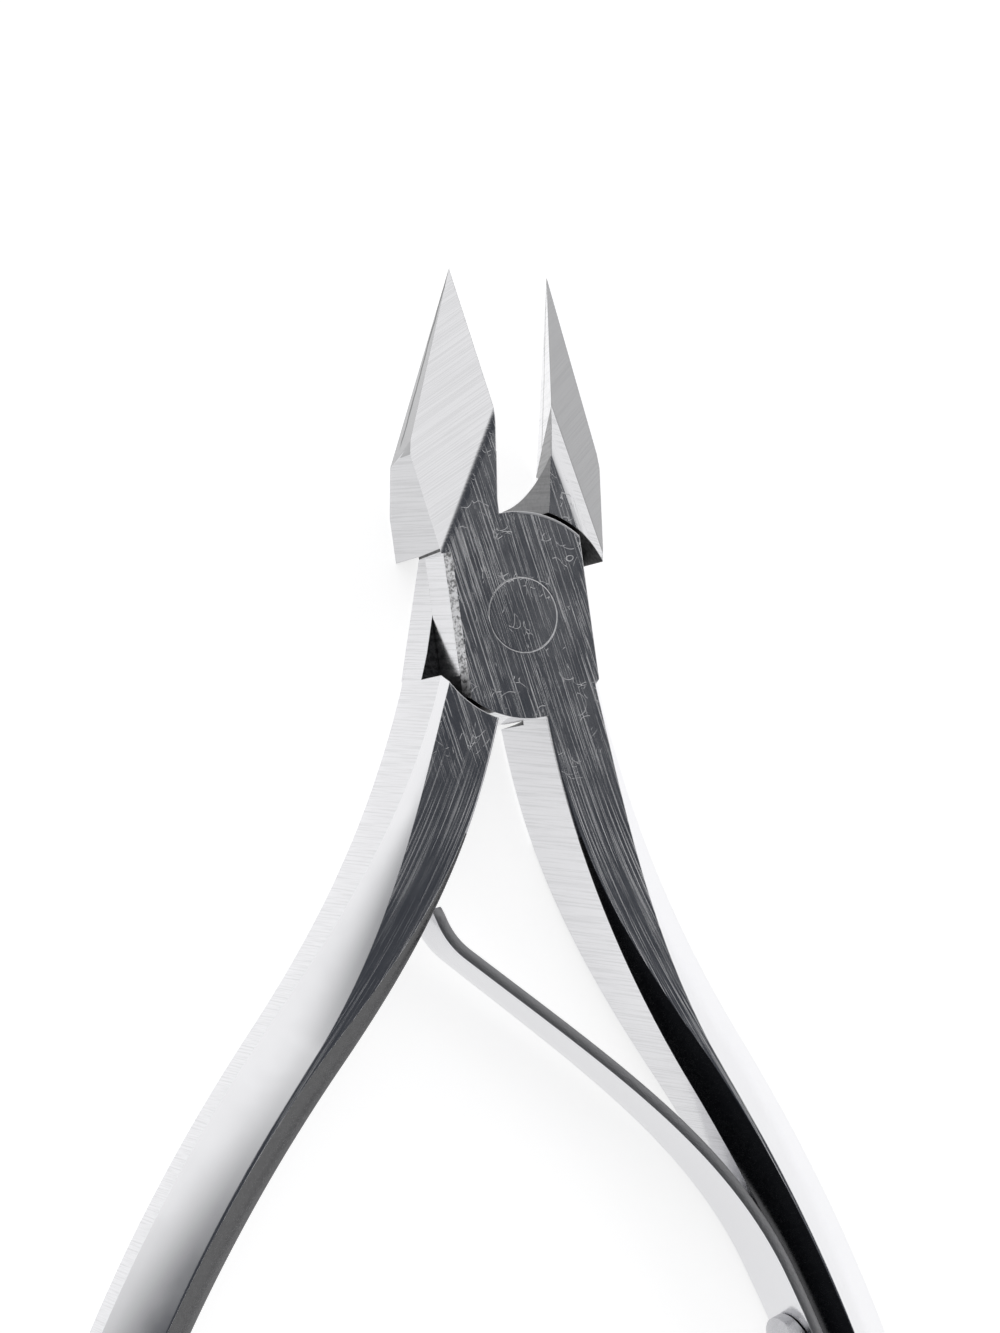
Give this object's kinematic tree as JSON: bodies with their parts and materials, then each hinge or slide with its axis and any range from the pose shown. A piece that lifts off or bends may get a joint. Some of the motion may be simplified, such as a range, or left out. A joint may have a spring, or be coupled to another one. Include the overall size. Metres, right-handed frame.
{
  "type": "cuticle nipper",
  "caption": "Hand nipper with ground pointed jaws, a lap joint on a flush rivet, bowed handles and a screwed leaf return spring.",
  "frame": {"origin": "pivot axis where it meets the flat back face of the joint, the face the tool lies on", "axes": "the tool lies on its back face: +Z is the pivot axis, up to the front face, +Y runs from the handles to the jaw tips, +X to the right seen from above"},
  "size_m": [0.0758, 0.1106, 0.0068],
  "materials": {
    "forged_steel": "polished stainless steel, with fine grinding lines on the jaws and brushed side walls",
    "rivet_steel": "rivet end ground flush, fine straight scratches",
    "spring_steel": "polished leaf with rough sheared edges",
    "screw_steel": "turned and plated slotted screw"
  },
  "bodies": {
    "front_half": {"front_half": "forged_steel", "pivot_rivet": "rivet_steel", "spring_screw": "screw_steel"},
    "back_half": {"back_half": "forged_steel"},
    "leaf_spring": {"leaf_spring": "spring_steel"}
  },
  "joints": [
    {"name": "jaw_pivot", "type": "hinge", "parent": "front_half", "child": "back_half", "pos_m": [0, 0, 0.0034], "axis": [0, 0, 1], "range_deg": [0, 17.4], "stiffness_Nm_per_rad": 1.5, "springref_deg": -5.73},
    {"name": "leaf_flex", "type": "hinge", "parent": "front_half", "child": "leaf_spring", "pos_m": [0.01, -0.044, 0.0034], "axis": [0, 0, -1], "range_deg": [0, 13.5], "deforming": ["leaf_spring"]}
  ],
  "couplings": [
    {"joint": "leaf_flex", "follows": "jaw_pivot", "ratio": 0.77}
  ]
}
